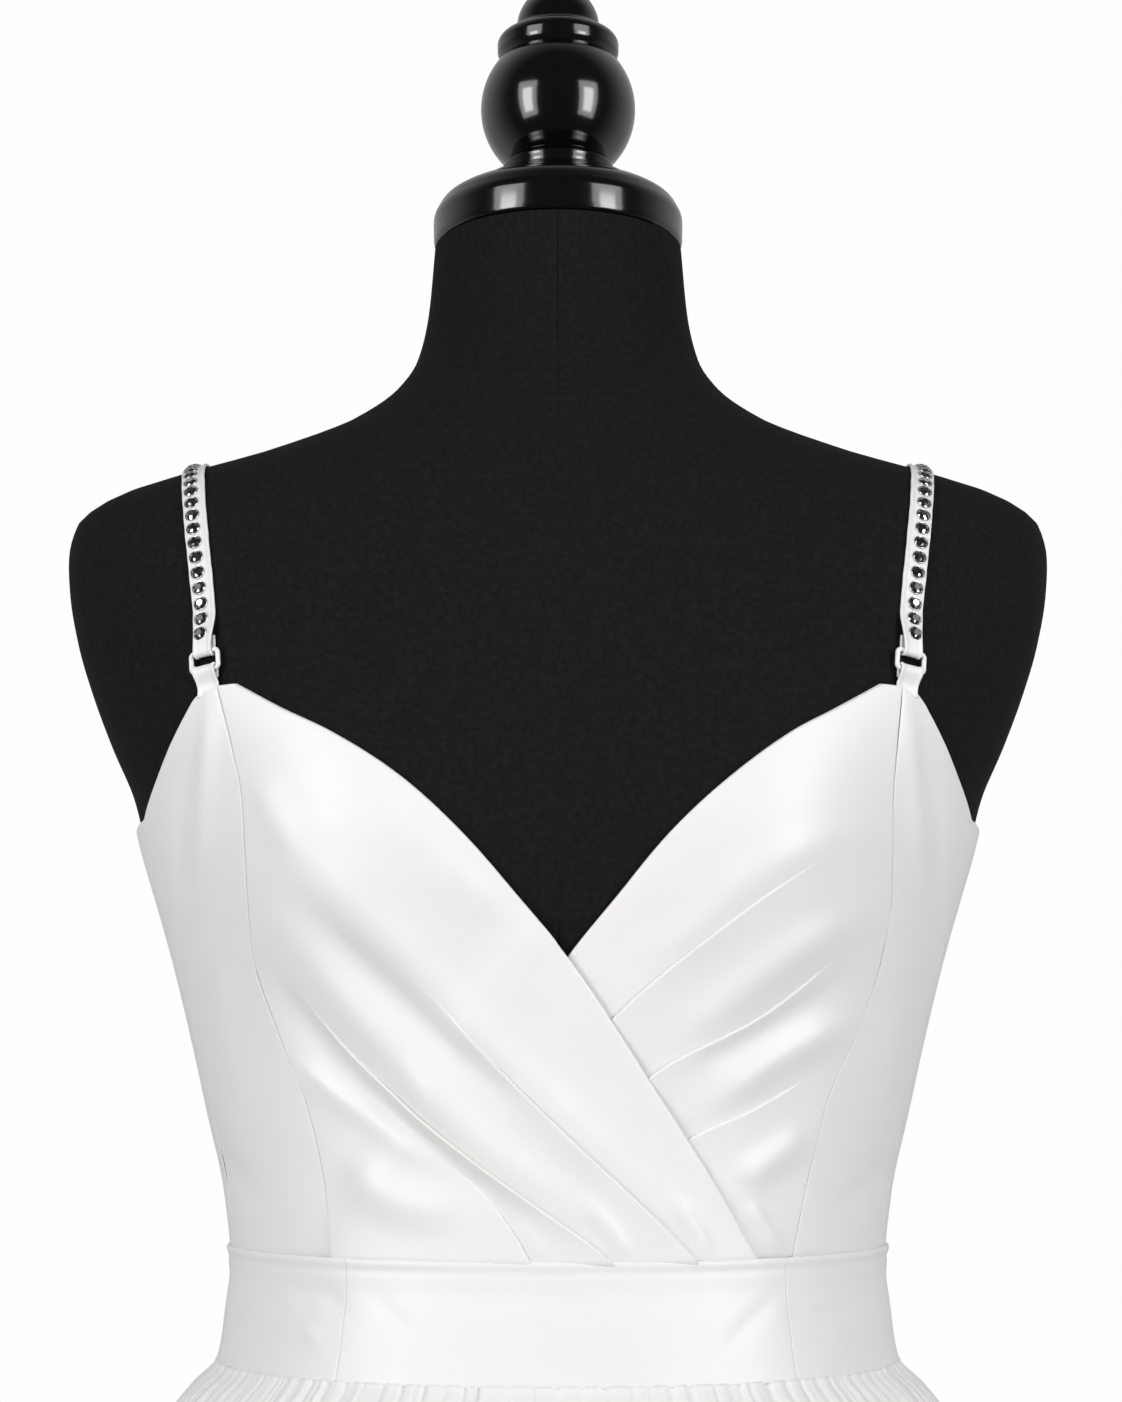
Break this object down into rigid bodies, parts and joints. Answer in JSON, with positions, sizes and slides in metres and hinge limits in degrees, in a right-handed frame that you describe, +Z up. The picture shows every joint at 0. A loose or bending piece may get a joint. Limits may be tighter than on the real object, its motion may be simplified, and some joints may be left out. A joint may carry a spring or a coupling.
{
  "type": "satin mini dress on a limbless dress form",
  "caption": "White satin wrap-front mini dress with pleated bodice, fitted waistband, gathered skirt and thin ringed straps, worn by a black dress form on a pole stand.",
  "frame": {"origin": "centre of the stand base's underside, on the floor", "axes": "+Z up; -Y is the front of the dress; +X is the wearer's left"},
  "size_m": [0.5688, 0.5224, 1.5415],
  "materials": {
    "satin": "white satin with a soft sheen",
    "form_cloth": "matt black woven cover",
    "gloss_black": "polished black lacquer",
    "stand_black": "satin black paint",
    "white_ring": "white coated, glossy",
    "zip_white": "white enamel"
  },
  "bodies": {
    "dress_on_form": {"form_body": "form_cloth", "neck_cap": "gloss_black", "stand_pole": "stand_black", "stand_base": "stand_black", "bodice_front_right": "satin", "bodice_front_left": "satin", "bodice_side_right": "satin", "bodice_side_left": "satin", "bodice_back_right": "satin", "bodice_back_left": "satin", "waistband_front": "satin", "waistband_side_right": "satin", "waistband_side_left": "satin", "waistband_back_right": "satin", "waistband_back_left": "satin", "skirt_front": "satin", "skirt_back_right": "satin", "skirt_back_left": "satin", "strap_right": "satin", "strap_left": "satin", "tab_right": "satin", "tab_left": "satin", "ring_right": "white_ring", "ring_left": "white_ring", "zip_slider": "zip_white"},
    "pull_tab": {"zip_pull": "zip_white"}
  },
  "joints": [
    {"name": "zip_pull_swing", "type": "hinge", "parent": "dress_on_form", "child": "pull_tab", "pos_m": [0, 0.10952, 1.17657], "axis": [1, 0, 0], "range_deg": [0, 150]}
  ]
}
